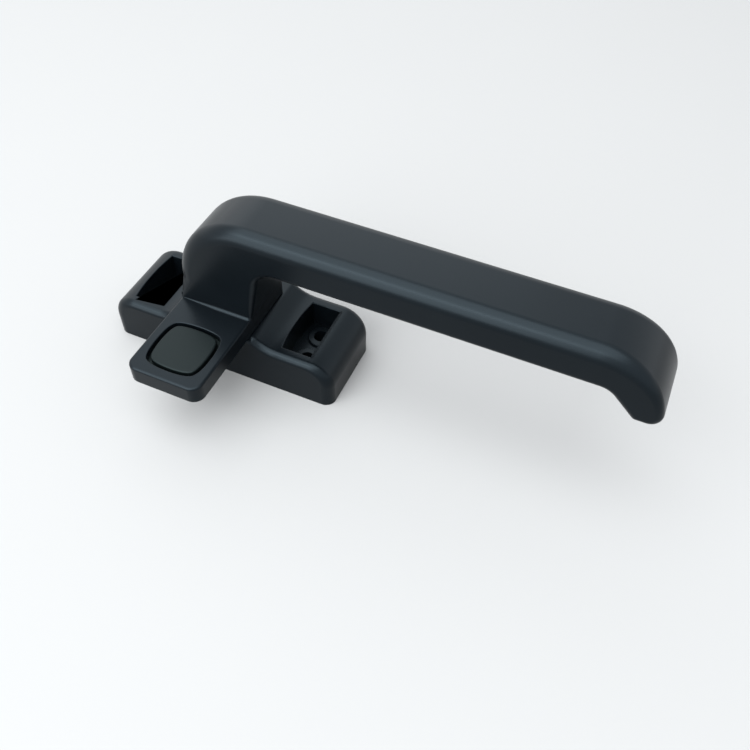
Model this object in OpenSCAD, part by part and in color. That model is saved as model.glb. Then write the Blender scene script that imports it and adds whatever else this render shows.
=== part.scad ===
// Surface-mounted latch handle: a screwed-down base with two lugs, and a
// one-piece grip, hub and tongue that turns a quarter turn on a steel spindle.
// A push button in the tongue drives a lock pin out of its underside.
// Origin: on the spindle's axis, in the plane of the mounting face. +X runs
// along the base and the closed grip, -Y along the tongue, +Z away from the panel.

/* [Base] */
// Length of the base along the grip
base_len = 79; // [74:0.5:100]
// Width of the base
base_w = 29; // [28.5:0.5:36]
// Height of the two screw lugs
lug_h = 16; // [14:0.5:17.5]
// Height of the raised pad that the handle turns on
pad_h = 19; // [18.2:0.1:24]
// Length of the raised pad
pad_len = 26; // [25.6:0.2:28]
// Length of each sloping side of the pad
pad_slope = 8; // [5:0.5:8]
// Radius of the rounded ends, seen from the side
end_r = 8.5; // [4:0.5:11]
// Radius of the upright corners
corner_r = 3.5; // [1.5:0.5:5]
// Wall thickness of the hollow underside
base_wall = 2.6; // [2:0.1:3]

/* [Screw recesses] */
// Distance between the two pairs of screws
screw_pitch_x = 53; // [53:0.5:72]
// Distance between the two screws of a pair
screw_pitch_y = 10; // [9:0.5:11.5]
// Diameter of a screw hole
screw_hole_d = 4.5; // [3.5:0.1:5]
// Diameter of the raised ring round a screw hole
screw_ring_d = 8.2; // [7:0.1:8.6]
// Height of that ring
screw_ring_h = 0.9; // [0.3:0.1:1.5]
// Width of a recess along the base
recess_w = 10.4; // [9.4:0.2:12]
// Length of a recess across the base
recess_len = 21; // [20.6:0.2:22]
// How far a recess's left wall bows out
recess_bow = 1; // [0.2:0.1:1.5]
// Height of the recess floor
recess_floor = 7; // [5.5:0.5:9]
// Thickness of the recess floor
floor_t = 3; // [2:0.5:4]

/* [Handle] */
// Reach of the grip from the spindle's axis to its tip
reach = 131.2; // [100:0.2:170]
// Width of the grip and hub
grip_w = 21; // [20.5:0.5:26]
// Distance of the grip's centre line in front of the axis
grip_shift = 1.3; // [0:0.1:1.6]
// Height of the grip's underside
grip_z = 44.8; // [42:0.2:60]
// Thickness of the grip
grip_t = 12.6; // [10:0.1:16]
// Drop of the hooked tip below the grip
tip_drop = 7.9; // [5:0.1:12]
// Outer radius where the hub turns into the grip
shoulder_r = 24; // [18:0.5:26]
// Outer radius of the hooked tip
tip_r = 20; // [16:0.5:24]
// Radius of the grip's top edges
edge_r = 4.5; // [2:0.1:5.5]
// Radius of the grip's lower edges
under_r = 2; // [0.5:0.1:2.4]
// Radius under the grip beside the hub
armpit_r = 7; // [4:0.5:9]
// How far the hub's right side leans out
hub_lean = 2.4; // [0:0.1:4]

/* [Tongue] */
// Width of the tongue and of the hub along the base
tongue_w = 24; // [23.6:0.2:28]
// Reach of the tongue from the axis
tongue_reach = 42.4; // [42:0.2:60]
// Thickness of the tongue
tongue_t = 5.7; // [5.5:0.1:8]
// Radius of the tongue's end corners
tongue_corner_r = 3.5; // [1:0.5:5]
// Gap between the pad and the tongue's underside
turn_gap = 0.3; // [0.2:0.05:0.6]
// Radius between the hub's front and the tongue
root_r = 1; // [0.5:0.5:3.5]

/* [Button] */
// Distance of the button's centre from the axis
button_y = 29.8; // [29.6:0.2:40]
// Width of the button's opening
opening_w = 18.3; // [15.3:0.1:18.6]
// Gap round the button
moat = 1.0; // [0.5:0.1:1.4]
// Travel of the button
travel = 1.4; // [0.8:0.1:1.5]
// Diameter of the lock pin
pin_d = 5; // [4:0.1:5.6]
// Thickness of the steel plate under the tongue
plate_t = 1.0; // [0.8:0.1:1.2]

/* [Spindle] */
// Diameter of the spindle
spindle_d = 10; // [8.4:0.2:12]
// Side of the spindle's square head
square_w = 8; // [6:0.2:9]
// Height of the square head inside the hub
square_h = 16; // [10:0.5:20]
// Diameter of the spindle's threaded end
thread_d = 8; // [6:0.5:8]
// Outer diameter of the bush
bush_d = 13; // [12:0.2:13.6]
// Diameter of the bush's flange
flange_d = 16; // [15:0.2:16.4]
// Radial clearance of the spindle in its bush
run_gap = 0.05; // [0.02:0.01:0.1]
// Axial play between the turning faces
play = 0.05; // [0.02:0.01:0.1]
// Angle through which the handle turns
turn_angle = 90; // [45:5:100]
// Diameter of the stop pin
stop_pin_d = 3; // [2:0.5:3]
// Distance of the stop pin from the axis
stop_pin_r = 9.2; // [9.1:0.1:9.4]

/* [Hidden] */
$fn = 48;
e = 0.5;                               // overshoot of a cut past a face

// Base
bx = base_len / 2;
by = base_w / 2;
px = pad_len / 2;
slope_r = (pow(pad_slope, 2) + pow(pad_h - lug_h, 2)) / (2 * (pad_h - lug_h));
sx = screw_pitch_x / 2;
sy = screw_pitch_y / 2;
ceiling_t = 5.4;                       // material between pad and central cavity
ceiling = pad_h - ceiling_t;
cavity_r = by - base_wall;             // central round cavity
flange_t = 1.2;                        // flange of the bush
pocket_len = 17.8;                     // pocket under a screw recess
recess_r = 0.8;                        // upright corners of a recess
recess_wall = 2;                       // wall between a recess and the hollow beside it
hollow_x = cavity_r + base_wall;       // hollow between the cavity and a recess
hollow_len = sx - recess_w / 2 - recess_bow - recess_wall - hollow_x;
bow_r = (pow(recess_len / 2, 2) + pow(recess_bow, 2)) / (2 * recess_bow);
pin_depth = 3;                         // depth of the stop pin's socket
stop_angle = 0;                        // direction of the stop pin from the axis
seal_d = 1.3;                          // sealing ring round the spindle
seal_r = spindle_d / 2 + run_gap - 0.02 - seal_d / 2;
seal_groove = 1.6;                     // width of its groove
seal_z = ceiling + 2.6;

// Handle
zt = pad_h + turn_gap;                 // underside of hub and tongue
tongue_top = zt + tongue_t;
grip_top = grip_z + grip_t;
yb = grip_w / 2 - grip_shift;          // back face of the grip
yf = -grip_w / 2 - grip_shift;         // front face of the grip
hx = tongue_w / 2;
sh_x = shoulder_r - hx;                // centre of the shoulder arc
sh_z = grip_top - shoulder_r;
tip_x = reach - tip_r;                 // centre of the tip arc
tip_cz = grip_top - tip_r;
tip_z = grip_z - tip_drop;             // lowest point of the tip
tip_flat = 7.4;                        // length of the tip's flat end
slope_c = reach + tip_z - tip_flat;    // inner face of the tip: x + z = slope_c
cove_r = 6;                            // cove between underside and tip
toe_r = 3.6;                           // outer toe of the tip
heel_r = 2.2;                          // inner toe of the tip
hub_xr = hx + 0.2;                     // right side of the hub at the tongue

// Pivot stack, from the central cavity's ceiling down
fw_t = 0.6;
fw_z = ceiling - play - fw_t;
stop_t = 2;
stop_z = fw_z - stop_t;
disc_t = 0.8;
disc_h = 1.1;
washer_d = 14;                         // outside of the friction washer, disc springs and washer
pw_t = 1.2;
pw_z = stop_z - 2 * disc_h - pw_t;
nut_h = 6;
nut_af = 13;
nut_z = pw_z - nut_h;
spindle_end = nut_z - 0.4;
flat_af = 8;                           // flats that key the stop plate
washer_t = 1.1;                        // thrust washer in the hub
square_z = tongue_top;                 // start of the square head
thread_gap = 0.03;                     // radial gap of keyed and threaded fits
washer_gap = 0.1;                      // radial gap of the disc springs and the washer
seat_gap = 0.2;                        // radial gap round the thrust washer
key_relief = 0.4;                      // spindle's flats past the stop plate
notch_r = 7.2;                         // bottom of the stop plate's notch
// Half the pin's width, seen from the axis, and one degree to spare.
stop_half = asin(stop_pin_d / 2 / stop_pin_r) + 1;
grub_d = 5;
grub_len = 4.4;
grub_z = square_z + square_h / 2;
grub_hex = 2.9;                        // hexagon socket across its corners
grub_hex_depth = 2;
stop_r = cavity_r - 0.6;

// Button
lip_t = 1.7;                           // lip that holds the cap in
cap_gap = 0.3;
cavity_side = opening_w + 1.7;
flange_h = 1;
cap_side = opening_w - 2 * moat;
plate_top = zt + plate_t;
cap_flange_top = tongue_top - lip_t - cap_gap;
cap_low = cap_flange_top - flange_h;
cap_roof = 1.0;                        // top of the cap over the spring
pin_roof = 1.4;                        // top of the cap over the lock pin
pin_gap = 0.08;                        // radial gap of the lock pin in the plate
post_wall = 1.1;                       // wall of the cap's post round the lock pin
spring_room = 1.2;                     // room outside the spring's centre line
flange_gap = 0.35;                     // gap round the cap's flange
soft_bulge = 2.2;                      // radius of a soft square's sides, as a share of its width
soft_clip = 0.605;                     // radius through its corners, as a share of its width
flange_side = cavity_side - 2 * flange_gap;
plate_w = tongue_w - 3;
plate_y0 = -tongue_reach + 1.3;
plate_y1 = yf - 3;
plate_gap = 0.05;
plate_r = 2.4;                         // its corners
nose_screw_x = 7;
nose_screw_y = (plate_y1 - button_y + cavity_side / 2) / 2;
nose_thread_d = 2.5;
nose_screw_len = tongue_t - 1.4;
nose_hole_gap = 0.1;
nose_hex = 1.5;                        // hexagon socket across its corners
nose_hex_depth = 0.6;
csk_h = 0.8;                           // countersunk head
csk_r = 2.2;
csk_neck_r = 1.4;
csk_gap = 0.05;
spring_wire = 0.6;
spring_r = 5.2;
spring_turns = 3;
spring_gap = 0.02;                     // clear of the plate and of the cap
spring_sides = 8;
spring_steps = 24;                     // rings of points in a turn

// Turns an outline in X and Z into a slab between two Y positions.
module slab_y(y0, y1) translate([0, y1, 0]) rotate([90, 0, 0]) linear_extrude(y1 - y0) children();
// Turns an outline in Y and Z into a bar between two X positions.
module bar_x(x0, x1) translate([x0, 0, 0]) rotate([90, 0, 90]) linear_extrude(x1 - x0) children();
// Rectangle with round corners.
module rrect(x0, y0, x1, y1, r) {
    translate([x0 + r, y0]) square([x1 - x0 - 2 * r, y1 - y0]);
    translate([x0, y0 + r]) square([x1 - x0, y1 - y0 - 2 * r]);
    for (x = [x0 + r, x1 - r], y = [y0 + r, y1 - r]) translate([x, y]) circle(r);
}
// Square with bulging sides and clipped round corners.
module soft_square(w) {
    bulge = soft_bulge * w;
    intersection() {
        intersection_for (a = [0, 90, 180, 270])
            rotate(a) translate([w / 2 - bulge, 0]) circle(bulge, $fn = 180);
        circle(soft_clip * w, $fn = 96);
    }
}
module ring(ri, ro, z0, z1) difference() {
    translate([0, 0, z0]) cylinder(h = z1 - z0, r = ro);
    translate([0, 0, z0 - e]) cylinder(h = z1 - z0 + 2 * e, r = ri);
}

// ---- Base ----
module base_side() {
    difference() {
        union() {
            translate([-bx, 0]) square([base_len, lug_h - end_r]);
            translate([-bx + end_r, 0]) square([base_len - 2 * end_r, lug_h]);
            for (s = [-1, 1]) translate([s * (bx - end_r), lug_h - end_r]) circle(end_r, $fn = 96);
            translate([-px - pad_slope, 0]) square([pad_len + 2 * pad_slope, pad_h]);
        }
        for (s = [-1, 1]) translate([s * (px + pad_slope), lug_h + slope_r]) circle(slope_r, $fn = 96);
    }
}
module recess(s) translate([s * sx, 0, 0]) {
    left = -recess_w / 2 - recess_bow;
    translate([0, 0, recess_floor]) linear_extrude(pad_h) intersection() {
        rrect(left, -recess_len / 2, recess_w / 2, recess_len / 2, recess_r);
        translate([left + bow_r, 0]) circle(bow_r, $fn = 512);
    }
}
module base() color("#1f2227") difference() {
    union() {
        difference() {
            intersection() {
                slab_y(-by, by) base_side();
                linear_extrude(pad_h + 1) rrect(-bx, -by, bx, by, corner_r);
            }
            // screw recesses
            for (s = [-1, 1]) recess(s);
            // hollow underside of the lugs
            for (s = [-1, 1]) {
                translate([s * sx - pocket_len / 2, -by + base_wall, -e])
                    cube([pocket_len, base_w - 2 * base_wall, recess_floor - floor_t + e]);
                translate([s * (hollow_x + hollow_len / 2) - hollow_len / 2, -by + base_wall, -e])
                    cube([hollow_len, base_w - 2 * base_wall, lug_h - base_wall + e]);
            }
            // central cavity
            translate([0, 0, -e]) cylinder(h = ceiling + e, r = cavity_r, $fn = 96);
        }
        // posts and raised rings round the screw holes
        for (s = [-1, 1], t = [-1, 1]) translate([s * sx, t * sy, 0])
            cylinder(h = recess_floor + screw_ring_h, d = screw_ring_d);
    }
    for (s = [-1, 1], t = [-1, 1]) translate([s * sx, t * sy, -e])
        cylinder(h = pad_h, d = screw_hole_d);
    // seat of the bush
    translate([0, 0, ceiling - e]) cylinder(h = ceiling_t + 2 * e, d = bush_d);
    translate([0, 0, pad_h - flange_t]) cylinder(h = flange_t + e, d = flange_d);
    // socket of the stop pin
    rotate(stop_angle) translate([stop_pin_r, 0, ceiling - e]) cylinder(h = pin_depth + e, d = stop_pin_d);
}
module pivot_bush() color("#b9b4a4") difference() {
    union() {
        translate([0, 0, ceiling]) cylinder(h = ceiling_t, d = bush_d);
        translate([0, 0, pad_h - flange_t]) cylinder(h = flange_t, d = flange_d);
    }
    translate([0, 0, ceiling - e]) cylinder(h = ceiling_t + 2 * e, d = spindle_d + 2 * run_gap);
}
// The pin stands at the leading end of the stop plate's notch when the handle is closed.
module stop_pin() color("#9aa0a6")
    rotate(stop_angle) translate([stop_pin_r, 0, stop_z])
        cylinder(h = ceiling + pin_depth - stop_z, d = stop_pin_d);

// ---- Handle ----
// Outline of the straight grip in Y and Z.
module grip_section() {
    translate([yf, grip_z + under_r]) square([grip_w, grip_t - under_r - edge_r]);
    translate([yf + edge_r, grip_z + under_r]) square([grip_w - 2 * edge_r, grip_t - under_r]);
    translate([yf + under_r, grip_z]) square([grip_w - 2 * under_r, grip_t / 2]);
    for (y = [yf + edge_r, yb - edge_r]) translate([y, grip_top - edge_r]) circle(edge_r);
    for (y = [yf + under_r, yb - under_r]) translate([y, grip_z + under_r]) circle(under_r);
}
// Quarter disc with round rims, about an axis along Y; a0 is its first angle.
module quarter(cx, cz, r, a0) translate([cx, 0, cz]) rotate([90, 0, 0]) rotate(a0)
    rotate_extrude(angle = 90, $fn = 180) {
        translate([0, -yb]) square([r - edge_r, grip_w]);
        translate([0, -yb + edge_r]) square([r, grip_w - 2 * edge_r]);
        for (h = [-yb + edge_r, -yf - edge_r]) translate([r - edge_r, h]) circle(edge_r, $fn = 48);
    }
module tip_side() {
    cx = slope_c - grip_z - cove_r * (sqrt(2) - 1);
    heel_z = heel_r * (1 - 1 / sqrt(2));
    difference() {
        union() {
            translate([tip_x, tip_z + toe_r]) square([tip_r, grip_top - tip_z - toe_r + 1]);
            translate([tip_x, tip_z]) square([tip_r - toe_r, toe_r]);
            translate([reach - toe_r, tip_z + toe_r]) circle(toe_r);
        }
        // space behind the hook
        polygon([[tip_x - 1, tip_z - 1], [tip_x - 1, grip_z], [cx, grip_z], [cx, grip_z - cove_r],
                 [cx + cove_r / sqrt(2), grip_z - cove_r + cove_r / sqrt(2)],
                 [slope_c - tip_z - heel_z, tip_z + heel_z],
                 [slope_c - tip_z + heel_r * (sqrt(2) - 1), tip_z],
                 [slope_c - tip_z + heel_r * (sqrt(2) - 1), tip_z - 1]]);
        translate([cx, grip_z - cove_r]) circle(cove_r);
    }
}
module tip() intersection() {
    slab_y(yf, yb) tip_side();
    union() {
        quarter(tip_x, tip_cz, tip_r, 0);
        translate([0, 0, tip_z - 1]) linear_extrude(tip_cz - tip_z + 1) {
            translate([tip_x, yf]) square([tip_r - edge_r, grip_w]);
            translate([tip_x, yf + edge_r]) square([tip_r, grip_w - 2 * edge_r]);
            for (y = [yf + edge_r, yb - edge_r]) translate([reach - edge_r, y]) circle(edge_r);
        }
    }
}
module hub_side() {
    // right half of the hub with the cove under the grip
    ax = hub_xr + hub_lean + armpit_r;
    az = grip_z + under_r - armpit_r;
    difference() {
        polygon([[sh_x - 1, zt], [hub_xr, zt], [hub_xr, tongue_top], [ax - armpit_r, az],
                 [ax, az], [ax, grip_z + under_r + 1], [sh_x, grip_z + under_r + 1],
                 [sh_x, tongue_top], [sh_x - 1, tongue_top]]);
        translate([ax, az]) circle(armpit_r, $fn = 64);
    }
}
module tongue_plan() {
    c = tongue_corner_r;
    translate([-hx, -tongue_reach + c]) square([tongue_w, tongue_reach - c + yb - edge_r]);
    translate([-hx + edge_r, 0]) square([tongue_w - edge_r, yb]);
    translate([-hx + edge_r, yb - edge_r]) circle(edge_r);
    translate([-hx + c, -tongue_reach]) square([tongue_w - 2 * c, c + 1]);
    for (s = [-1, 1]) translate([s * (hx - c), -tongue_reach + c]) circle(c);
}
module handle() color("#1f2227") difference() {
    union() {
        // tongue and the hub's foot
        translate([0, 0, zt]) linear_extrude(tongue_t) tongue_plan();
        // left side of the hub
        translate([0, 0, tongue_top - 1]) linear_extrude(sh_z - tongue_top + 1) {
            translate([-hx + edge_r, yf]) square([shoulder_r - edge_r, grip_w]);
            translate([-hx, yf + edge_r]) square([shoulder_r, grip_w - 2 * edge_r]);
            for (y = [yf + edge_r, yb - edge_r]) translate([-hx + edge_r, y]) circle(edge_r);
        }
        quarter(sh_x, sh_z, shoulder_r, 90);
        slab_y(yf, yb) hub_side();
        bar_x(sh_x, tip_x) grip_section();
        tip();
        // root of the tongue
        translate([-hx + edge_r, yf - root_r, tongue_top - 1])
            cube([tongue_w - edge_r, root_r + 1, root_r + 1]);
    }
    translate([-hx + edge_r - 1, yf - root_r, tongue_top + root_r])
        rotate([0, 90, 0]) cylinder(h = tongue_w + 2, r = root_r);
    // recess of the thrust washer and socket of the spindle
    translate([0, 0, zt - e]) cylinder(h = washer_t - turn_gap + play + e, d = flange_d + 2 * seat_gap);
    translate([0, 0, zt - e]) cylinder(h = square_z - zt + e, d = spindle_d);
    translate([-square_w / 2, -square_w / 2, square_z - e]) cube([square_w, square_w, square_h + e]);
    // tapped hole of the grub screw
    translate([0, 0, grub_z]) rotate([-90, 0, 0]) cylinder(h = yb + e, d = grub_d);
    // pocket of the button
    translate([0, -button_y, tongue_top - lip_t - e]) linear_extrude(lip_t + 2 * e) soft_square(opening_w);
    translate([0, -button_y, zt - e]) linear_extrude(tongue_t - lip_t + e) soft_square(cavity_side);
    // seat of the plate under the tongue and its two tapped holes
    translate([0, 0, zt - e]) linear_extrude(plate_t + e)
        rrect(-plate_w / 2, plate_y0, plate_w / 2, plate_y1, plate_r);
    for (s = [-1, 1]) translate([s * nose_screw_x, nose_screw_y, zt - e])
        cylinder(h = nose_screw_len + e, d = nose_thread_d);
}
module spindle() color("#9aa0a6") {
    difference() {
        union() {
            translate([0, 0, stop_z]) cylinder(h = square_z - stop_z, d = spindle_d);
            translate([0, 0, spindle_end]) cylinder(h = stop_z - spindle_end + 1, d = thread_d);
            translate([-square_w / 2, -square_w / 2, square_z]) cube([square_w, square_w, square_h]);
        }
        for (s = [0, 180]) rotate(s) translate([flat_af / 2, -spindle_d, stop_z - e])
            cube([spindle_d, 2 * spindle_d, stop_t + key_relief + e]);
        ring(seal_r - seal_d / 2, spindle_d, seal_z - seal_groove / 2, seal_z + seal_groove / 2);
    }
}
module spindle_seal() color("#101010")
    translate([0, 0, seal_z]) rotate_extrude($fn = 96) translate([seal_r, 0]) circle(d = seal_d, $fn = 32);
module grub_screw() color("#5a5f66") difference() {
    translate([0, square_w / 2, grub_z]) rotate([-90, 0, 0]) cylinder(h = grub_len, d = grub_d);
    translate([0, square_w / 2 + grub_len - grub_hex_depth, grub_z]) rotate([-90, 0, 0])
        cylinder(h = grub_hex_depth + e, d = grub_hex, $fn = 6);
}
module thrust_washer() color("#e8e6df")
    ring(spindle_d / 2 + run_gap, flange_d / 2, pad_h + play, pad_h + play + washer_t);
module friction_washer() color("#e8e6df") ring(spindle_d / 2 + run_gap, washer_d / 2, fw_z, fw_z + fw_t);
module stop_plate() color("#9aa0a6") difference() {
    translate([0, 0, stop_z]) cylinder(h = stop_t, r = stop_r, $fn = 96);
    translate([0, 0, stop_z - e]) intersection() {
        cylinder(h = stop_t + 2 * e, d = spindle_d + 2 * thread_gap);
        translate([-flat_af / 2 - thread_gap, -spindle_d, 0])
            cube([flat_af + 2 * thread_gap, 2 * spindle_d, stop_t + 2 * e]);
    }
    // notch that the stop pin stands in
    difference() {
        translate([0, 0, stop_z - e]) linear_extrude(stop_t + 2 * e)
            polygon(concat([[0, 0]],
                [for (i = [0:6]) let (a = stop_angle + stop_half - i * (turn_angle + 2 * stop_half) / 6)
                    [2 * stop_r * cos(a), 2 * stop_r * sin(a)]]));
        translate([0, 0, stop_z - 2 * e]) cylinder(h = stop_t + 4 * e, r = notch_r);
    }
}
// Coned disc spring; up = 1 if its rim is at the top.
module disc_spring(z0, up) translate([0, 0, z0]) rotate_extrude() {
    ri = thread_d / 2 + washer_gap;
    ro = washer_d / 2;
    d = disc_h - disc_t;
    polygon(up > 0 ? [[ri, 0], [ro, d], [ro, d + disc_t], [ri, disc_t]]
                   : [[ri, d], [ro, 0], [ro, disc_t], [ri, d + disc_t]]);
}
module disc_spring_a() color("#7d8288") disc_spring(stop_z - disc_h, 1);
module disc_spring_b() color("#7d8288") disc_spring(stop_z - 2 * disc_h, -1);
module plain_washer() color("#9aa0a6") ring(thread_d / 2 + washer_gap, washer_d / 2, pw_z, pw_z + pw_t);
module lock_nut() color("#9aa0a6") difference() {
    translate([0, 0, nut_z]) cylinder(h = nut_h, d = nut_af / cos(30), $fn = 6);
    translate([0, 0, nut_z - e]) cylinder(h = nut_h + 2 * e, d = thread_d + 2 * thread_gap);
}

// ---- Plate and screws under the tongue ----
module nose_plate() color("#a8adb2") difference() {
    translate([0, 0, zt]) linear_extrude(plate_t)
        rrect(-plate_w / 2 + plate_gap, plate_y0 + plate_gap, plate_w / 2 - plate_gap,
              plate_y1 - plate_gap, plate_r - plate_gap);
    translate([0, -button_y, zt - e]) cylinder(h = plate_t + 2 * e, d = pin_d + 2 * pin_gap);
    for (s = [-1, 1]) translate([s * nose_screw_x, nose_screw_y, 0]) {
        translate([0, 0, zt - e]) cylinder(h = plate_t + 2 * e, d = nose_thread_d + 2 * nose_hole_gap);
        translate([0, 0, zt]) cylinder(h = csk_h, r1 = csk_r + csk_gap, r2 = csk_neck_r + csk_gap);
    }
}
module nose_screw(s) translate([s * nose_screw_x, nose_screw_y, 0]) difference() {
    union() {
        translate([0, 0, zt]) cylinder(h = nose_screw_len, d = nose_thread_d);
        translate([0, 0, zt]) cylinder(h = csk_h, r1 = csk_r, r2 = csk_neck_r);
    }
    translate([0, 0, zt - e]) cylinder(h = nose_hex_depth + e, d = nose_hex, $fn = 6);
}
module nose_screw_l() color("#5a5f66") nose_screw(-1);
module nose_screw_r() color("#5a5f66") nose_screw(1);

// ---- Button ----
module button_cap() color("#23282a") translate([0, -button_y, 0]) difference() {
    union() {
        translate([0, 0, cap_low]) linear_extrude(tongue_top - cap_low) soft_square(cap_side);
        translate([0, 0, cap_low]) linear_extrude(flange_h) soft_square(flange_side);
    }
    // ring-shaped room for the spring
    translate([0, 0, cap_low - e]) difference() {
        cylinder(h = tongue_top - cap_roof - cap_low + e, r = spring_r + spring_room);
        translate([0, 0, -e]) cylinder(h = tongue_top, d = pin_d + 2 * post_wall);
    }
    translate([0, 0, cap_low - e]) cylinder(h = tongue_top - pin_roof - cap_low + e, d = pin_d);
}
module lock_pin() color("#9aa0a6")
    translate([0, -button_y, zt]) cylinder(h = tongue_top - pin_roof - zt, d = pin_d);
function spring_point(i, j, n, z0, z1) =
    let (a = 360 * spring_turns * i / n, b = 360 * j / spring_sides, q = i / n,
         r = spring_r + spring_wire / 2 * cos(b),
         z = z0 + (z1 - z0) * q + spring_wire / 2 * sin(b))
    [r * cos(a), r * sin(a), z];
module button_spring() color("#b4b8bc") translate([0, -button_y, 0]) {
    n = spring_steps * spring_turns;
    m = spring_sides;
    z0 = plate_top + spring_wire / 2 + spring_gap;
    z1 = tongue_top - cap_roof - spring_wire / 2 - spring_gap;
    polyhedron(
        points = [for (i = [0:n], j = [0:m - 1]) spring_point(i, j, n, z0, z1)],
        faces = concat([[for (j = [0:m - 1]) j]], [[for (j = [m - 1:-1:0]) n * m + j]],
            [for (i = [0:n - 1], j = [0:m - 1], k = [0, 1])
                let (a = i * m + j, b = i * m + (j + 1) % m)
                k == 0 ? [a, a + m, b + m] : [a, b + m, b]]),
        convexity = 6);
}

base();
pivot_bush();
stop_pin();
handle();
spindle();
spindle_seal();
grub_screw();
thrust_washer();
friction_washer();
stop_plate();
disc_spring_a();
disc_spring_b();
plain_washer();
lock_nut();
nose_plate();
nose_screw_l();
nose_screw_r();
button_spring();
button_cap();
lock_pin();
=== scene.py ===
# Looks of a surface-mounted latch handle: two satin black mouldings and a push button,
# over the steel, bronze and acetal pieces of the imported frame.
import math

import bmesh
import bpy
from mathutils import Matrix, Vector


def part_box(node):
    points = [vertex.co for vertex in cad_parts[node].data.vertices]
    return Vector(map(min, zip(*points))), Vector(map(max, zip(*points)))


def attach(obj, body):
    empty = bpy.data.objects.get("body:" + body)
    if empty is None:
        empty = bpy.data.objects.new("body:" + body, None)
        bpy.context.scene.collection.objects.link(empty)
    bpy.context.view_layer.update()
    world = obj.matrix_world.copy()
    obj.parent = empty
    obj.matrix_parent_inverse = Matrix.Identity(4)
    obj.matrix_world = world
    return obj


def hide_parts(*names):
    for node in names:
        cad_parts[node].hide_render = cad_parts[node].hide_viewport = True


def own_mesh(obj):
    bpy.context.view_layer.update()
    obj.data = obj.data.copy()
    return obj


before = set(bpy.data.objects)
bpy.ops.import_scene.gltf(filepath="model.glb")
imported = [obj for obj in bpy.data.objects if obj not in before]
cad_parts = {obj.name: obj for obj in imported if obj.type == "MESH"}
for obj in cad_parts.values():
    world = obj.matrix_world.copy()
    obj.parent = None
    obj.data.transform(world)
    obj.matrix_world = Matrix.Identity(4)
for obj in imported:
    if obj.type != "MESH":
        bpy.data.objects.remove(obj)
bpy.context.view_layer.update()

MM = 0.001
NEAR = 0.02                     # how close in mm counts as the same place
PAST = 1                        # how far in mm a cutting tool stands past what it cuts
FADED = 0.05                    # radius in mm at which a fading rounding ends

# soft squares: side radius and corner reach as shares of the width, and how sharply they meet
BULGE, CORNER_REACH, BLEND = 2.2, 0.6, 20


def corners(node):
    """A node's lowest and highest corner in mm."""
    return [Vector(corner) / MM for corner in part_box(node)]


# ---- Ways of working a mesh ----
def put_down():
    """Leaves edit mode and selects nothing."""
    if bpy.context.object and bpy.context.object.mode != "OBJECT":
        bpy.ops.object.mode_set(mode="OBJECT")
    bpy.ops.object.select_all(action="DESELECT")


def take_up(piece):
    """Makes one piece the only selected one."""
    put_down()
    piece.select_set(True)
    bpy.context.view_layer.objects.active = piece


def settle(name):
    """Names the new primitive and puts its place and size into its mesh."""
    piece = bpy.context.object
    piece.name = name
    bpy.ops.object.transform_apply(location=True, rotation=True, scale=True)
    return piece


def block(name, low, high):
    """A box between two corners in mm."""
    put_down()
    low, high = Vector(low), Vector(high)
    bpy.ops.mesh.primitive_cube_add(size=1, location=(low + high) * MM / 2, scale=(high - low) * MM)
    return settle(name)


def rod(name, x, y, radius, low, high, sides=64):
    """An upright cylinder in mm."""
    put_down()
    bpy.ops.mesh.primitive_cylinder_add(
        vertices=sides, radius=radius * MM, depth=(high - low) * MM,
        location=Vector((x, y, (low + high) / 2)) * MM)
    return settle(name)


def choose(piece, kind, test):
    """Selects the open piece's faces, edges or corners that pass a test of their place in mm."""
    bpy.ops.mesh.select_mode(type=kind)
    bpy.ops.mesh.select_all(action="DESELECT")
    mesh = bmesh.from_edit_mesh(piece.data)
    if kind == "FACE":
        found = [face for face in mesh.faces if test(face.calc_center_median() / MM, face.normal)]
    elif kind == "EDGE":
        found = [edge for edge in mesh.edges if test(edge.verts[0].co / MM, edge.verts[1].co / MM)]
    else:
        found = [vert for vert in mesh.verts if test(vert.co / MM)]
    for item in found:
        item.select_set(True)
    bmesh.update_edit_mesh(piece.data)


def all_at(axis, value):
    """A test of edges that lie in one plane."""
    return lambda a, b: abs(a[axis] - value) < NEAR and abs(b[axis] - value) < NEAR


def pull(x=0, y=0, z=0):
    """Extrudes what is selected by a distance in mm."""
    bpy.ops.mesh.extrude_region_move(TRANSFORM_OT_translate={"value": Vector((x, y, z)) * MM})


def trace(x, z, steps):
    """Draws a strip along its side outline from the selected edge. A step of two numbers
    pulls straight to that x and z; one of four turns about x and z, through degrees, in pieces."""
    for step in steps:
        if len(step) == 2:
            pull(x=step[0] - x, z=step[1] - z)
            x, z = step
        else:
            cx, cz, degrees, count = step
            a = math.radians(degrees)
            bpy.ops.mesh.spin(steps=count, angle=-a, center=Vector((cx, 0, cz)) * MM, axis=(0, 1, 0))
            x, z = (cx + (x - cx) * math.cos(a) + (z - cz) * math.sin(a),
                    cz - (x - cx) * math.sin(a) + (z - cz) * math.cos(a))


def strip_body(name, x0, x1, y0, y1, z0, steps):
    """A body whose side outline starts at its lower left corner and runs over its top."""
    put_down()
    bpy.ops.mesh.primitive_plane_add(
        size=1, location=Vector(((x0 + x1) / 2, (y0 + y1) / 2, z0)) * MM)
    piece = settle(name)
    bpy.ops.object.mode_set(mode="EDIT")
    bpy.ops.mesh.select_all(action="SELECT")
    bpy.ops.transform.resize(value=((x1 - x0) * MM, (y1 - y0) * MM, 1),
                             center_override=Vector(((x0 + x1) / 2, (y0 + y1) / 2, z0)) * MM)
    choose(piece, "EDGE", all_at(0, x0))
    trace(x0, z0, steps)
    close_sides(piece, (y0, y1))
    return piece


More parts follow.
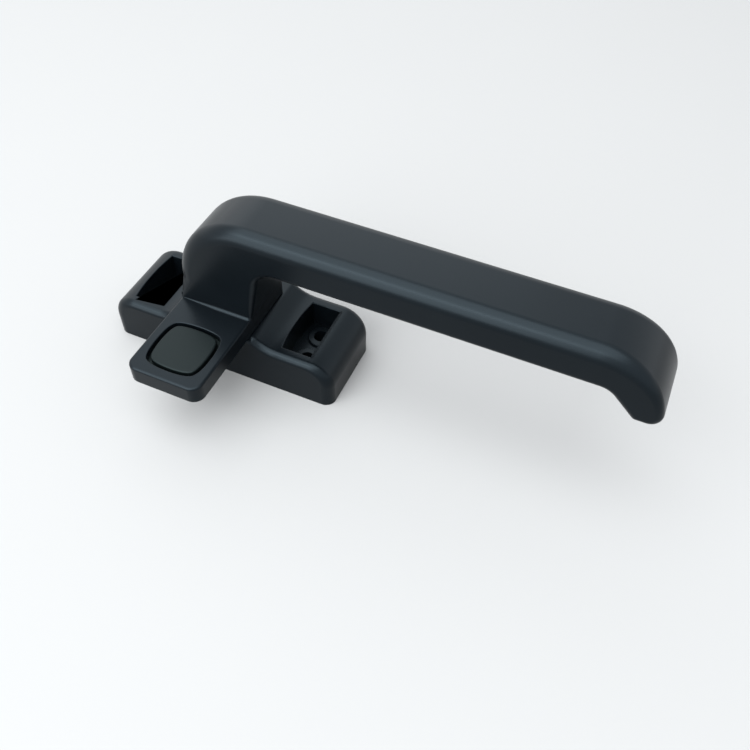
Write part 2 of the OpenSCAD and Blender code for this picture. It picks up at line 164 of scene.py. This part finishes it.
def close_sides(piece, places):
    """Welds a strip to itself and fills its two open sides, at the places along y."""
    bpy.ops.mesh.select_mode(type="VERT")
    bpy.ops.mesh.select_all(action="SELECT")
    bpy.ops.mesh.remove_doubles(threshold=NEAR * MM)
    for y in places:
        choose(piece, "EDGE", all_at(1, y))
        bpy.ops.mesh.edge_face_add()
    bpy.ops.mesh.select_all(action="SELECT")
    bpy.ops.mesh.normals_make_consistent(inside=False)


def round_edges(piece, rounding, pieces):
    """Rounds the piece's edges, each by the radius in mm that rounding(a, b) gives it."""
    bpy.ops.object.mode_set(mode="EDIT")
    mesh = bmesh.from_edit_mesh(piece.data)
    layers = mesh.edges.layers.float
    layer = layers.get("bevel_weight_edge") or layers.new("bevel_weight_edge")
    radii = {edge: rounding(edge.verts[0].co / MM, edge.verts[1].co / MM) for edge in mesh.edges}
    largest = max(radii.values())
    for edge, radius in radii.items():
        edge[layer] = radius / largest
    bmesh.update_edit_mesh(piece.data)
    bpy.ops.object.mode_set(mode="OBJECT")
    finish_with(piece, "BEVEL", width=largest * MM, segments=pieces, limit_method="WEIGHT",
                offset_type="OFFSET", use_clamp_overlap=False, miter_outer="MITER_SHARP")


def finish_with(piece, kind, **settings):
    """Adds a modifier, sets it and applies it."""
    take_up(piece)
    bpy.ops.object.modifier_add(type=kind)
    modifier = piece.modifiers[-1]
    for name, value in settings.items():
        setattr(modifier, name, value)
    bpy.ops.object.modifier_apply(modifier=modifier.name)


def cut(piece, *tools, operation="DIFFERENCE"):
    """Cuts tools out of a piece, or joins them to it, and removes the tools."""
    for tool in tools:
        finish_with(piece, "BOOLEAN", object=tool, operation=operation, solver="EXACT")
        bpy.data.objects.remove(tool)


def smooth(piece, degrees=32):
    """Smooth shading that keeps flat faces flat and sharp edges sharp."""
    take_up(piece)
    bpy.ops.object.shade_smooth_by_angle(angle=math.radians(degrees))
    finish_with(piece, "WEIGHTED_NORMAL", mode="FACE_AREA", weight=100, keep_sharp=True)


def soft_square(name, y, width, low, high, sides=96):
    """A square bar with bulging sides and round corners, about x 0."""
    bar = rod(name, 0, y, width / 2, low, high, sides)
    bulge = BULGE * width
    offset = width / 2 - bulge
    bpy.ops.object.mode_set(mode="EDIT")
    centre = Vector((0, y, (low + high) / 2)) * MM
    step = 360 / sides
    for k in range(round(45 / step) + 1):
        a = math.radians(k * step)
        side = offset * math.cos(a) + math.sqrt(bulge ** 2 - (offset * math.sin(a)) ** 2)
        reach = (side ** -BLEND + (CORNER_REACH * width) ** -BLEND) ** (-1 / BLEND)
        grow = reach / (width / 2)

        def at_angle(place):
            turned = math.degrees(math.atan2(place.y - y, place.x)) % 90
            return abs(min(turned, 90 - turned) - k * step) < step / 4
        choose(bar, "VERT", at_angle)
        bpy.ops.transform.resize(value=(grow, grow, 1), center_override=centre)
    bpy.ops.object.mode_set(mode="OBJECT")
    return bar


# ---- Handle: grip, hub and tongue in one moulding ----
low, high = corners("handle")
grip_width, grip_thick, tongue_thick = 21, 12.6, 5.7
tip_drop, tip_flat = 7.9, 7.4
hub_left, hub_right = low.x, -low.x
grip_front, grip_back = high.y - grip_width, high.y
foot, top = low.z, high.z
tongue_top = foot + tongue_thick
grip_under = top - grip_thick
shoulder, tip_round = 24, 20
tip_x = high.x - tip_round
tip_low = grip_under - tip_drop
toe, heel, cove, armpit = 3.6, 2.2, 6, 7
pit_x = 21.6                    # where the armpit's curve reaches the grip's underside
tongue_corner = 3.5
root_growth = 0.55              # share of the hub's width over which the root fillet grows
long_edge = 8
EDGE_TOP, EDGE_UNDER, EDGE_FOOT, EDGE_TONGUE, ROOT = 4.5, 2.0, 1.5, 0.8, 1.0

on_front = all_at(1, grip_front)
on_back = all_at(1, grip_back)
on_tongue_top = all_at(2, tongue_top)


def right_of_foot(a, b):
    """Edges on the right side, from the tongue's top up and from the hub's front outwards."""
    return (min(a.x, b.x) > hub_right - NEAR and max(a.y, b.y) < grip_front + NEAR
            and min(a.z, b.z) > tongue_top - NEAR)


def grow_tongue(piece):
    """Pulls the tongue out of the foot of the hub's front and rounds its corners."""
    choose(piece, "FACE", lambda p, n: n.y < -0.9)
    bpy.ops.mesh.bisect(plane_co=(0, 0, tongue_top * MM), plane_no=(0, 0, 1))
    choose(piece, "FACE", lambda p, n: n.y < -0.9 and p.z < tongue_top)
    pull(y=low.y - grip_front)
    choose(piece, "EDGE", lambda a, b: on_front(a, b) and max(a.z, b.z) < tongue_top + NEAR
           and min(a.z, b.z) < tongue_top - NEAR)
    bpy.ops.mesh.dissolve_edges(use_verts=False)
    on_end = all_at(1, low.y)
    choose(piece, "EDGE", lambda a, b: on_end(a, b) and abs(a.z - b.z) > 1)
    bpy.ops.mesh.bevel(offset=tongue_corner * MM, segments=10, affect="EDGES", clamp_overlap=False)


def divide_fading_edges(piece):
    """Cuts the edges whose rounding grows or fades along them."""
    choose(piece, "EDGE", lambda a, b: right_of_foot(a, b) and max(a.x, b.x) < pit_x
           and max(abs(a.y - b.y), abs(a.z - b.z)) > long_edge)
    bpy.ops.mesh.subdivide(number_cuts=3)
    choose(piece, "EDGE", lambda a, b: on_front(a, b) and on_tongue_top(a, b))
    bpy.ops.mesh.subdivide(number_cuts=11)
    choose(piece, "EDGE", lambda a, b: on_front(a, b) and max(a.x, b.x) < hub_left + NEAR)
    bpy.ops.mesh.subdivide(number_cuts=9)


def make_handle():
    toe_z = tip_low + toe
    toe_x = tip_x + math.sqrt((tip_round - toe) ** 2 - (toe_z - top + tip_round) ** 2)
    toe_turn = math.degrees(math.atan2(toe_z - top + tip_round, toe_x - tip_x))
    slope = high.x + tip_low - tip_flat
    heel_x = slope - tip_low + heel * math.tan(math.radians(22.5))
    cove_x = slope - grip_under - cove * math.tan(math.radians(22.5))
    cove_end = cove * math.tan(math.radians(22.5)) * math.sqrt(0.5)
    down, across = grip_under - armpit - tongue_top, pit_x - hub_right
    lean = math.degrees(math.atan2(across, down) - math.asin(armpit / math.hypot(across, down)))
    piece = strip_body("latch_handle", hub_left, hub_right, grip_front, grip_back, foot, [
        (hub_left, top - shoulder),
        (hub_left + shoulder, top - shoulder, 90, 24),
        (tip_x, top),
        (tip_x, top - tip_round, 90 - toe_turn, 20),
        (toe_x, toe_z, 90 + toe_turn, 10),
        (heel_x, tip_low),
        (heel_x, tip_low + heel, 45, 5),
        (slope - grip_under + cove_end, grip_under - cove_end),
        (cove_x, grip_under - cove, -45, 8),
        (pit_x, grip_under),
        (pit_x, grip_under - armpit, lean - 90, 14),
        (hub_right, tongue_top),
        (hub_right, foot),
    ])
    grow_tongue(piece)
    divide_fading_edges(piece)

    def root(a, b):
        if on_front(a, b) and on_tongue_top(a, b):
            along = ((a.x + b.x) / 2 - hub_left) / (hub_right - hub_left)
            return max(ROOT * min(1, along / root_growth), FADED)
        return 0
    round_edges(piece, root, 8)

    def side_outline(a, b, x, z):
        """Radius along the outline of the front or the back."""
        front = on_front(a, b)
        if z < foot + NEAR:
            return 0
        if front and max(a.z, b.z) < tongue_top + ROOT + 10 * NEAR and hub_left + NEAR < x < hub_right:
            return 0
        if abs(math.hypot(x - tip_x, z - top + tip_round) - tip_round) < 5 * NEAR and x > tip_x:
            turned = math.degrees(math.atan2(z - top + tip_round, x - tip_x))
            share = min(1, max(0, (turned - toe_turn) / (90 - toe_turn)))
            share = share * share * (3 - 2 * share)
            return EDGE_UNDER + (EDGE_TOP - EDGE_UNDER) * share
        if front and x < hub_left + NEAR and z < top - shoulder:
            return max(EDGE_TOP * (z - tongue_top) / (top - shoulder - tongue_top), FADED)
        if front and hub_right - NEAR < x < pit_x - armpit and z < grip_under - armpit:
            share = (z - tongue_top) / (grip_under - armpit - tongue_top)
            return EDGE_FOOT + (EDGE_UNDER - EDGE_FOOT) * share
        return EDGE_TOP if x < 0 or z > (top + grip_under) / 2 else EDGE_UNDER

    def tongue_outline(a, b):
        """Radius along the top of the tongue."""
        at_end = min(a.y, b.y) < low.y + tongue_corner + 5 * NEAR
        outer = max(abs(a.x), abs(b.x)) > hub_right - NEAR or at_end
        return EDGE_TONGUE if outer and (abs(a.x - b.x) < NEAR or at_end) else 0

    def outline(a, b):
        x, z = (a.x + b.x) / 2, (a.z + b.z) / 2
        if on_front(a, b) or on_back(a, b):
            return side_outline(a, b, x, z)
        if on_tongue_top(a, b) and max(a.y, b.y) < grip_front + NEAR:
            return tongue_outline(a, b)
        if right_of_foot(a, b):
            return EDGE_TONGUE + (EDGE_FOOT - EDGE_TONGUE) * min(1, (z - tongue_top) / ROOT)
        return 0
    round_edges(piece, outline, 8)
    return piece


def upright(a, b):
    """Edges that stand straight up."""
    return abs(a.x - b.x) < NEAR and abs(a.y - b.y) < NEAR


def round_corners(piece, radius, pieces=8):
    """Rounds a block's upright edges."""
    bpy.ops.object.mode_set(mode="EDIT")
    choose(piece, "EDGE", upright)
    bpy.ops.mesh.bevel(offset=radius * MM, segments=pieces, affect="EDGES", clamp_overlap=False)
    bpy.ops.object.mode_set(mode="OBJECT")
    return piece


def round_rim(piece, radius, test, pieces=3):
    """Rounds the edges that pass a test."""
    take_up(piece)
    bpy.ops.object.mode_set(mode="EDIT")
    choose(piece, "EDGE", test)
    bpy.ops.mesh.bevel(offset=radius * MM, segments=pieces, affect="EDGES", clamp_overlap=False)
    bpy.ops.object.mode_set(mode="OBJECT")


# ---- Button, pocket and plate seat in the tongue ----
cap_low, cap_high = corners("button_cap")
button_y = (cap_low.y + cap_high.y) / 2
plate_low, plate_high = corners("nose_plate")
grub_low, grub_high = corners("grub_screw")
opening, pocket, lip = 18.3, 20, 1.7
plate_gap, plate_corner = 0.05, 2.4
washer_seat_r, washer_seat_deep = 8.2, 0.85
spindle_r, square_half, square_deep = 5, 4, 16
grub_r, grub_from, grub_to = 2.5, 0, 14
nose_screw_r = 1.25
opening_rim, rim_reach = 0.3, 0.4


def cut_handle(piece):
    """The button's opening and pocket, and the seats of plate, washer, spindle and screws."""
    cut(piece,
        soft_square("opening", button_y, opening, tongue_top - 3 * PAST, tongue_top + 2 * PAST),
        soft_square("pocket", button_y, pocket, foot - PAST, tongue_top - lip),
        round_corners(block("plate_seat", (plate_low.x - plate_gap, plate_low.y - plate_gap, foot - PAST),
                            (plate_high.x + plate_gap, plate_high.y + plate_gap, plate_high.z)),
                      plate_corner),
        rod("washer_seat", 0, 0, washer_seat_r, foot - PAST, foot + washer_seat_deep),
        rod("spindle_seat", 0, 0, spindle_r, foot - PAST, tongue_top),
        block("square_socket", (-square_half, -square_half, tongue_top - PAST),
              (square_half, square_half, tongue_top + square_deep)))
    put_down()
    bpy.ops.mesh.primitive_cylinder_add(
        vertices=48, radius=grub_r * MM, depth=(grub_to - grub_from) * MM, rotation=(math.radians(90), 0, 0),
        location=Vector((0, (grub_from + grub_to) / 2, (grub_low.z + grub_high.z) / 2)) * MM)
    cut(piece, settle("grub_hole"))
    for side in ("l", "r"):
        screw_low, screw_high = corners("nose_screw_" + side)
        middle = (screw_low + screw_high) / 2
        cut(piece, rod("screw_hole", middle.x, middle.y, nose_screw_r, foot - PAST, screw_high.z, 32))
    reach = opening / 2 + rim_reach
    round_rim(piece, opening_rim, lambda a, b: on_tongue_top(a, b) and max(abs(a.x), abs(b.x)) < reach
              and max(abs(a.y - button_y), abs(b.y - button_y)) < reach)


cap_gap, cap_rim, cap_roof = 1, 0.5, 1
flange_thick = 1
room_r, post_r, pin_r = 6.4, 3.6, 2.5
post_drop, pin_drop = 0.5, 1.4


def make_button():
    """The cap with its flange, and under it room for the spring round the lock pin's post."""
    width = cap_high.x - cap_low.x
    cap = soft_square("button_top", button_y, opening - 2 * cap_gap, cap_low.z, cap_high.z)
    round_rim(cap, cap_rim, all_at(2, cap_high.z), 4)
    cut(cap, soft_square("flange", button_y, width, cap_low.z, cap_low.z + flange_thick), operation="UNION")
    cut(cap, rod("room", 0, button_y, room_r, cap_low.z - PAST, cap_high.z - cap_roof))
    cut(cap, rod("post", 0, button_y, post_r, cap_low.z, cap_high.z - post_drop), operation="UNION")
    cut(cap, rod("pin_hole", 0, button_y, pin_r, cap_low.z - PAST, cap_high.z - pin_drop))
    return cap


spring_low, spring_high = corners("button_spring")
wire, turns, turn_steps = 0.6, 3, 32


def make_spring():
    """A round wire swept up a coil, its two ends closed."""
    put_down()
    bpy.ops.mesh.primitive_circle_add(
        vertices=12, radius=wire / 2 * MM, rotation=(math.radians(90), 0, 0),
        location=Vector((0, button_y, spring_low.z + wire / 2)) * MM)
    spring = bpy.context.object
    bpy.ops.object.transform_apply(location=False, rotation=True, scale=False)
    bpy.ops.object.mode_set(mode="EDIT")
    bpy.ops.mesh.select_all(action="SELECT")
    bpy.ops.transform.translate(value=((spring_high.x - wire / 2) * MM, 0, 0))
    bpy.ops.object.mode_set(mode="OBJECT")
    finish_with(spring, "SCREW", angle=math.radians(360 * turns), steps=turn_steps * turns,
                render_steps=turn_steps * turns, screw_offset=(spring_high.z - spring_low.z - wire) * MM)
    bpy.ops.object.mode_set(mode="EDIT")
    bpy.ops.mesh.select_all(action="DESELECT")
    bpy.ops.mesh.select_non_manifold()
    bpy.ops.mesh.fill_holes(sides=0)
    bpy.ops.mesh.select_all(action="SELECT")
    bpy.ops.mesh.normals_make_consistent(inside=False)
    bpy.ops.object.mode_set(mode="OBJECT")
    return settle("return_spring")


# ---- Base ----
base_low, base_high = corners("base")
pad_z, lug_z = base_high.z, 16
crest, slope_len, end_round = 13, 8, 8.5
recess_x, recess_y, recess_z, bow = 5.2, 10.5, 7, 1.0
hole_x, hole_y, hole_r, ring_r, ring_z = 26.5, 5, 2.25, 4.1, 7.9
wall = 2.6
lug_pocket_x, lug_pocket_top = 8.9, 4
cavity_r, cavity_top = 11.9, 13.6
hollow_from, hollow_to = 14.5, 18.3
bush_r, flange_r, flange_deep, seat_low = 6.5, 8, 1.2, 12
stop_pin_r = 1.5
EDGE_BASE, EDGE_CORNER, EDGE_CREST, RECESS_RIM, RING_RIM = 2.2, 3.5, 0.9, 0.35, 0.3


def cut_lugs(piece):
    """Screw recesses, the left wall of each bowed out, and the hollows underneath."""
    front, back = base_low.y + wall, base_high.y - wall
    for side in (-1, 1):
        middle = side * hole_x
        left = middle - recess_x - bow
        curve = (recess_y ** 2 + bow ** 2) / (2 * bow)
        recess = block("recess", (left, -recess_y, recess_z), (middle + recess_x, recess_y, pad_z + 5 * PAST))
        bowed = rod("bow", left + curve, 0, curve, recess_z - PAST, pad_z + 6 * PAST, 512)
        cut(recess, bowed, operation="INTERSECT")
        cut(piece, recess)
        cut(piece, block("lug_pocket", (middle - lug_pocket_x, front, -PAST),
                         (middle + lug_pocket_x, back, lug_pocket_top)))
        inner, outer = sorted((side * hollow_from, side * hollow_to))
        cut(piece, block("hollow", (inner, front, -PAST), (outer, back, lug_z - wall)))


def on_recess_rim(a, b):
    """Edges round the mouth of a screw recess."""
    return (min(a.z, b.z) > lug_z - 0.5 and max(abs(a.y), abs(b.y)) < recess_y + NEAR
            and max(abs(abs(a.x) - hole_x), abs(abs(b.x) - hole_x)) < recess_x + bow + NEAR
            and max(abs(a.x), abs(b.x)) > crest + 2)


def add_screw_rings(piece):
    """Posts with raised rings, and the holes through them."""
    places = [(side * hole_x, row * hole_y) for side in (-1, 1) for row in (-1, 1)]
    for x, y in places:
        ring = rod("ring", x, y, ring_r, 0.01, ring_z, 48)
        round_rim(ring, RING_RIM, all_at(2, ring_z))
        cut(piece, ring, operation="UNION")
    for x, y in places:
        cut(piece, rod("hole", x, y, hole_r, -PAST, ring_z + PAST, 48))


def make_base():
    rise = pad_z - lug_z
    slope_r = (slope_len ** 2 + rise ** 2) / (2 * rise)
    slope_turn = math.degrees(math.asin(slope_len / slope_r))
    end_x, end_z = base_high.x - end_round, lug_z - end_round
    piece = strip_body("latch_base", base_low.x, base_high.x, base_low.y, base_high.y, base_low.z, [
        (base_low.x, end_z),
        (-end_x, end_z, 90, 16),
        (-crest - slope_len, lug_z),
        (-crest - slope_len, lug_z + slope_r, -slope_turn, 12),
        (crest, pad_z),
        (crest + slope_len, lug_z + slope_r, -slope_turn, 12),
        (end_x, lug_z),
        (end_x, end_z, 90, 16),
        (base_high.x, base_low.z),
    ])

    def outline(a, b):
        if all_at(1, base_low.y)(a, b) or all_at(1, base_high.y)(a, b):
            x, z = abs(a.x + b.x) / 2, (a.z + b.z) / 2
            if z < NEAR:
                return 0
            if z < end_z and x > end_x:
                return EDGE_CORNER
            if x > end_x:
                share = math.degrees(math.atan2(z - end_z, x - end_x)) / 90
                return EDGE_CORNER + (EDGE_BASE - EDGE_CORNER) * share
            return EDGE_BASE
        if all_at(2, pad_z)(a, b) and abs(a.x - b.x) < NEAR and abs(abs(a.x) - crest) < NEAR:
            return EDGE_CREST
        return 0
    round_edges(piece, outline, 8)
    cut_lugs(piece)
    round_rim(piece, RECESS_RIM, on_recess_rim)
    cut(piece, rod("cavity", 0, 0, cavity_r, -PAST, cavity_top, 96))
    add_screw_rings(piece)
    cut(piece, rod("bush_seat", 0, 0, bush_r, seat_low, pad_z + PAST),
        rod("flange_seat", 0, 0, flange_r, pad_z - flange_deep, pad_z + PAST))
    pin_low, pin_high = corners("stop_pin")
    cut(piece, rod("pin_seat", (pin_low.x + pin_high.x) / 2, 0, stop_pin_r, seat_low, pin_high.z, 32))
    return piece


# ---- Finishes ----
class Value:
    """A shader socket that takes part in sums."""

    def __init__(self, finish, socket):
        self.finish = finish
        self.socket = socket

    def sum_with(self, operation, first, second):
        return self.finish.add("ShaderNodeMath", {"operation": operation}, {0: first, 1: second})

    def __add__(self, other):
        return self.sum_with("ADD", self, other)

    def __radd__(self, other):
        return self.sum_with("ADD", other, self)

    def __sub__(self, other):
        return self.sum_with("SUBTRACT", self, other)

    def __rsub__(self, other):
        return self.sum_with("SUBTRACT", other, self)

    def __mul__(self, other):
        return self.sum_with("MULTIPLY", self, other)

    def __rmul__(self, other):
        return self.sum_with("MULTIPLY", other, self)


class Finish:
    """A material and its nodes."""

    def __init__(self, name):
        self.material = bpy.data.materials.new(name)
        self.material.use_nodes = True
        self.nodes = self.material.node_tree.nodes
        self.links = self.material.node_tree.links
        self.nodes.clear()

    def add(self, kind, settings=None, inputs=None, output=0):
        """Adds a node: its settings, then its sockets' values or links; returns one output."""
        node = self.nodes.new(kind)
        for name, value in (settings or {}).items():
            if name == "stops":
                ramp = node.color_ramp.elements
                while len(ramp) < len(value):
                    ramp.new(0.5)
                for stop, (place, shade) in zip(ramp, value):
                    stop.position = place
                    stop.color = (shade, shade, shade, 1)
            else:
                setattr(node, name, value)
        for name, value in (inputs or {}).items():
            if isinstance(value, Value):
                self.links.new(value.socket, node.inputs[name])
            else:
                node.inputs[name].default_value = value
        return None if output is None else Value(self, node.outputs[output])

    def places(self):
        """Places on the piece in metres."""
        return self.add("ShaderNodeTexCoord", output="Object")

    def noise(self, scale, detail=2.0, roughness=0.5, stretch=None):
        """Noise with about scale grains to the metre; stretch squeezes it along x, y and z."""
        where = self.places()
        if stretch:
            where = self.add("ShaderNodeMapping", None, {"Vector": where, "Scale": stretch})
        return self.add("ShaderNodeTexNoise", None,
                        {"Vector": where, "Scale": scale, "Detail": detail, "Roughness": roughness})

    def ramp(self, value, stops):
        """Turns a value into grey by stops of a place and a shade."""
        return self.add("ShaderNodeValToRGB", {"stops": stops}, {"Fac": value})

    def between(self, share, first, second):
        """A colour between two colours, each a red, green and blue or a value."""
        first, second = (side if isinstance(side, Value) else (*side, 1) for side in (first, second))
        return self.add("ShaderNodeMix", {"data_type": "RGBA"},
                        {"Factor": share, 6: first, 7: second}, output=2)

    def relief(self, height, depth, strength):
        """Bumps of a depth in mm."""
        sockets = {"Height": height, "Distance": depth * MM, "Strength": strength}
        return self.add("ShaderNodeBump", None, sockets, output="Normal")

    def surface(self, **sockets):
        """Ends the material in a surface shader with these sockets."""
        names = {name.replace("_", " "): value for name, value in sockets.items()}
        shader = self.add("ShaderNodeBsdfPrincipled", None, names)
        self.add("ShaderNodeOutputMaterial", None, {"Surface": shader}, output=None)
        return self.material


def moulded(name, dark, light, gloss, specular, painted_reflection_tint):
    """Satin moulding: fine grain, faint flow patches, and edges and handled places a little polished; its
    reflections carry a painted bluish tint that stands in for bluish studio light.
    """
    finish = Finish(name)
    grain = finish.noise(4200, 3, 0.6)
    patches = finish.noise(55, 3, 0.55)
    dust = finish.ramp(finish.noise(1500, 2, 0.7), [(0.62, 0), (0.74, 1)])
    bend = finish.add("ShaderNodeNewGeometry", output="Pointiness")
    rubbed = finish.ramp(finish.noise(320, 4, 0.65), [(0.42, 0), (0.62, 1)])
    worn = finish.ramp(bend, [(0.52, 0), (0.62, 1)]) * rubbed
    share = patches * 0.5 + grain * 0.25 + dust * 0.18 + worn * 0.35
    colour = finish.between(share, dark, light)
    rough = gloss - 0.04 + patches * 0.08 + grain * 0.05 - worn * 0.06
    normal = finish.relief(grain * 0.7 + patches * 0.3, 0.012, 0.55)
    return finish.surface(Base_Color=colour, Roughness=rough, Normal=normal,
                          # painted reflection colour: the specular tint stands in for the bluish light the
                          # surface reflects
                          Specular_IOR_Level=specular, Specular_Tint=(*painted_reflection_tint, 1))


def metal(name, dark, light, gloss, scale, stretch, depth):
    """Bare metal: turned or brushed lines, slight staining, brighter edges."""
    finish = Finish(name)
    lines = finish.noise(scale, 4, 0.6, stretch)
    stain = finish.noise(140, 4, 0.6)
    bend = finish.ramp(finish.add("ShaderNodeNewGeometry", output="Pointiness"), [(0.5, 0), (0.58, 1)])
    colour = finish.between(lines * 0.45 + stain * 0.45 + bend * 0.2, dark, light)
    rough = gloss + lines * 0.14 + stain * 0.1 - bend * 0.08
    normal = finish.relief(lines, depth, 0.5)
    return finish.surface(Base_Color=colour, Metallic=1.0, Roughness=rough, Normal=normal)


def soft_part(name, dark, light, gloss, scale, depth):
    """Acetal or rubber: pale cloudy body or dull fine-grained skin."""
    finish = Finish(name)
    clouds = finish.noise(120, 3, 0.5)
    skin = finish.noise(scale, 3, 0.6)
    colour = finish.between(clouds * 0.7 + skin * 0.3, dark, light)
    normal = finish.relief(skin, depth, 0.5)
    return finish.surface(Base_Color=colour, Roughness=gloss + skin * 0.12, Normal=normal)


handle = make_handle()
cut_handle(handle)
smooth(handle)
button = make_button()
smooth(button)
base = make_base()
smooth(base)
spring = make_spring()
smooth(spring, 50)
put_down()

# the last three numbers of each are a painted bluish tint on the reflections, standing in for bluish studio
# light
black = moulded("satin_black_moulding", (0.0008, 0.0013, 0.0019), (0.0024, 0.0036, 0.0048),
                0.28, 0.15, (0.70, 0.88, 1.0))
black_button = moulded("satin_black_button", (0.0009, 0.0016, 0.0018), (0.0026, 0.0042, 0.0045),
                       0.4, 0.14, (0.75, 0.95, 0.97))
turned = metal("turned_steel", (0.34, 0.35, 0.36), (0.58, 0.59, 0.6), 0.22, 900, (1, 1, 9), 0.01)
ground = metal("ground_steel", (0.36, 0.37, 0.38), (0.6, 0.61, 0.62), 0.26, 700, (1, 8, 1), 0.01)
dark_steel = metal("blackened_steel", (0.045, 0.047, 0.05), (0.13, 0.13, 0.135), 0.34, 1600, None, 0.008)
spring_steel = metal("spring_steel", (0.24, 0.25, 0.27), (0.46, 0.47, 0.49), 0.24, 1500, None, 0.006)
stainless = metal("brushed_stainless", (0.45, 0.45, 0.46), (0.66, 0.66, 0.66), 0.24, 600, (9, 1, 1), 0.012)
bronze = metal("sintered_bronze", (0.28, 0.16, 0.07), (0.52, 0.33, 0.16), 0.38, 3200, None, 0.02)
acetal = soft_part("white_acetal", (0.66, 0.65, 0.61), (0.8, 0.79, 0.76), 0.34, 1800, 0.01)
rubber = soft_part("black_rubber", (0.012, 0.012, 0.013), (0.03, 0.03, 0.031), 0.6, 2600, 0.015)

for piece, body, node, slot, finish in (
        (handle, "handle_body", "handle", "black_nylon", black),
        (base, "base_body", "base", "black_nylon", black),
        (button, "button_body", "button_cap", "button_nylon", black_button),
        (spring, "handle_body", "button_spring", "spring_steel", spring_steel)):
    piece.data.materials.clear()
    piece.data.materials.append(finish)
    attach(piece, body)
    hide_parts(node)
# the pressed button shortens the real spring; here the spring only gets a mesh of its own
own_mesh(spring)

for finish, names in (
        (turned, ("spindle", "stop_pin", "lock_pin", "lock_nut")),
        (ground, ("stop_plate", "plain_washer")),
        (dark_steel, ("grub_screw", "nose_screw_l", "nose_screw_r")),
        (spring_steel, ("disc_spring_a", "disc_spring_b")),
        (stainless, ("nose_plate",)),
        (bronze, ("pivot_bush",)),
        (acetal, ("thrust_washer", "friction_washer")),
        (rubber, ("spindle_seal",))):
    for name in names:
        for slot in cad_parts[name].material_slots:
            slot.material = finish


# ---- Stage, light and camera ----
FLOOR_SIZE, FLOOR_BORDER = 40, 2.5


def make_stage():
    """A plain pale floor, paler far off, where the lights don't reach."""
    put_down()
    bpy.ops.mesh.primitive_plane_add(size=FLOOR_SIZE, location=(0, 0, 0))
    floor = settle("floor")
    bpy.ops.object.mode_set(mode="EDIT")
    bpy.ops.mesh.select_all(action="SELECT")
    bpy.ops.mesh.inset(thickness=FLOOR_BORDER)
    bpy.ops.object.mode_set(mode="OBJECT")
    finish = Finish("pale_floor")
    near = finish.between(finish.noise(6, 2) * 0.6, (0.24, 0.24, 0.24), (0.25, 0.25, 0.25))
    distance = finish.add("ShaderNodeVectorMath", {"operation": "LENGTH"}, {0: finish.places()}, "Value")
    shade = finish.between(finish.ramp(distance * 0.4, [(0.2, 0), (0.9, 1)]), near, (0.52, 0.52, 0.52))
    floor.data.materials.append(finish.surface(Base_Color=shade, Roughness=0.9, Specular_IOR_Level=0.1))


DAYLIGHT = (0.96, 0.99, 1.0)


def make_light(name, place, width, height, power):
    """A soft window at a place in metres, facing the part."""
    light = bpy.data.lights.new(name, "AREA")
    light.shape = "RECTANGLE"
    light.size = width
    light.size_y = height
    light.energy = power
    light.color = DAYLIGHT
    lamp = bpy.data.objects.new(name, light)
    lamp.location = place
    lamp.rotation_euler = (-Vector(place)).to_track_quat("-Z", "Y").to_euler()
    bpy.context.scene.collection.objects.link(lamp)


def make_camera():
    """Looks down on the latch from in front and a little to the right."""
    settings = bpy.data.cameras.new("camera")
    settings.lens = 38.97
    settings.sensor_width = 36
    settings.clip_start = 0.01
    camera = bpy.data.objects.new("camera", settings)
    bpy.context.scene.collection.objects.link(camera)
    right = Vector((0.9145, 0.4041, 0.0188))
    upward = Vector((-0.3218, 0.6984, 0.6393))
    back = Vector((0.2452, -0.5907, 0.7687))
    facing = Matrix((right, upward, back)).transposed().to_4x4()
    camera.matrix_world = Matrix.Translation(Vector((111.0, -151.9, 202.2)) * MM) @ facing
    bpy.context.scene.camera = camera


make_stage()
make_light("front_window", (-0.30, -0.82, 0.48), 0.9, 0.95, 15)
make_light("top_window", (-0.1, -0.35, 1.1), 1.6, 1.3, 30)
make_light("back_window", (-0.42, 0.64, 0.72), 0.9, 0.75, 2.8)
make_camera()
world = bpy.data.worlds.new("studio")
world.use_nodes = True
world.node_tree.nodes["Background"].inputs["Color"].default_value = (0.96, 0.98, 1.0, 1)
world.node_tree.nodes["Background"].inputs["Strength"].default_value = 1.75
bpy.context.scene.world = world
bpy.context.scene.view_settings.view_transform = "Standard"
